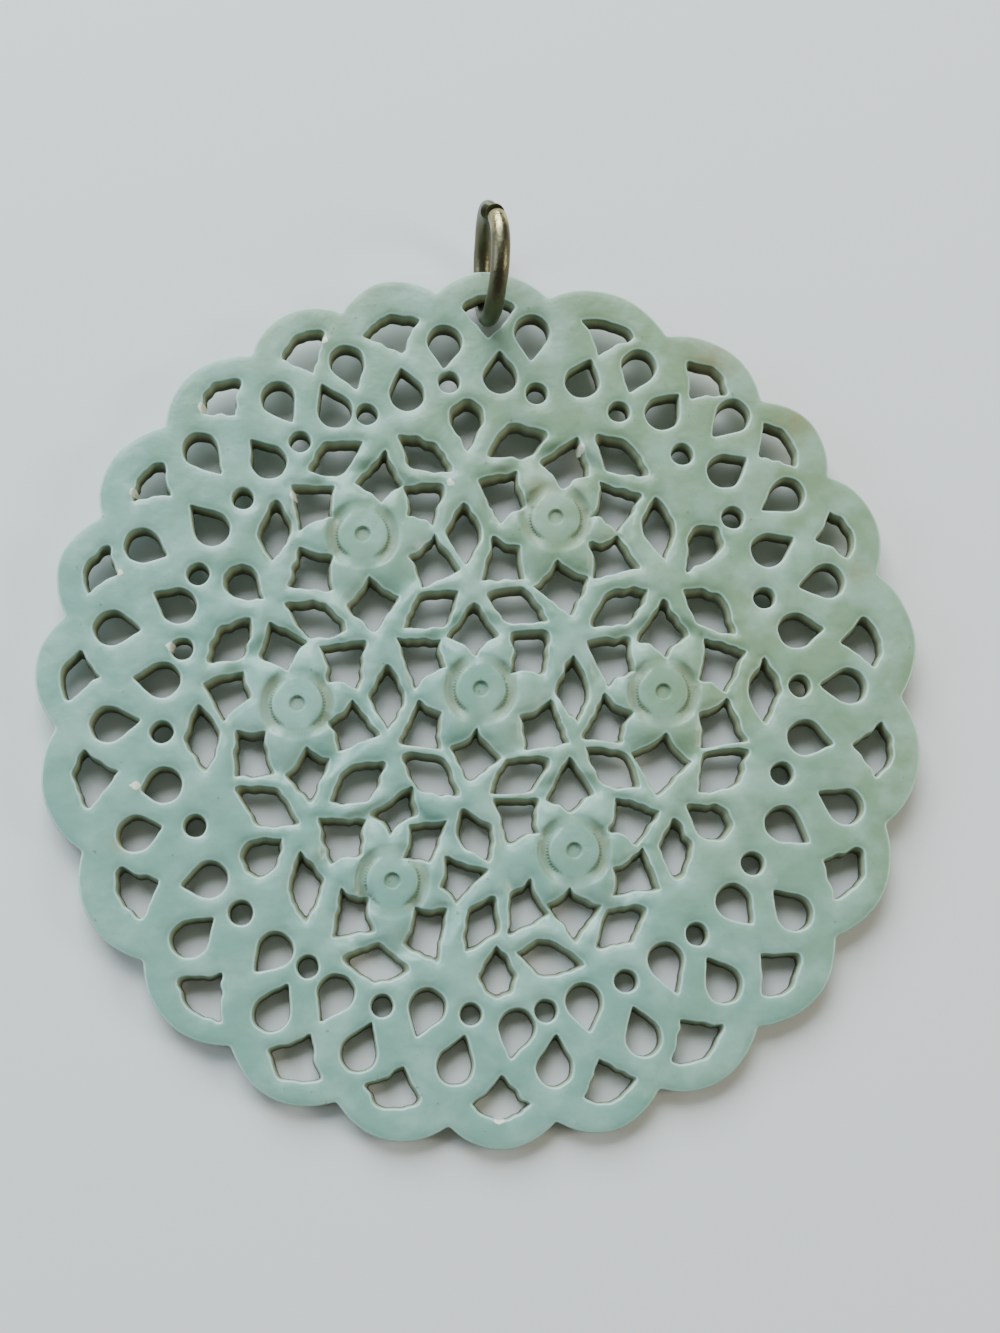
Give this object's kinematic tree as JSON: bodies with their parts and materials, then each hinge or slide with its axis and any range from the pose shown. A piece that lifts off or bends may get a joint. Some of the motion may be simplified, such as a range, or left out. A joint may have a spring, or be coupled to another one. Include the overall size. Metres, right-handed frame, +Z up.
{
  "type": "openwork celluloid pendant",
  "caption": "Round openwork pendant of pale celluloid with a scalloped edge, pierced floral lattice and carved flowers, on an open brass jump ring through its edge.",
  "frame": {"origin": "On the surface that the pendant lies on, below the middle of its box", "axes": "+Z up, out of the carved face; +Y along the face towards the jump ring; +X to the right as the face is seen with the ring at the top"},
  "size_m": [0.0498, 0.0534, 0.0072],
  "materials": {
    "celluloid": "worn semi-gloss, slightly translucent",
    "antique_brass": "dark patina with rubbed highlights"
  },
  "bodies": {
    "root": {"openwork_disc": "celluloid", "jump_ring": "antique_brass"}
  },
  "joints": []
}
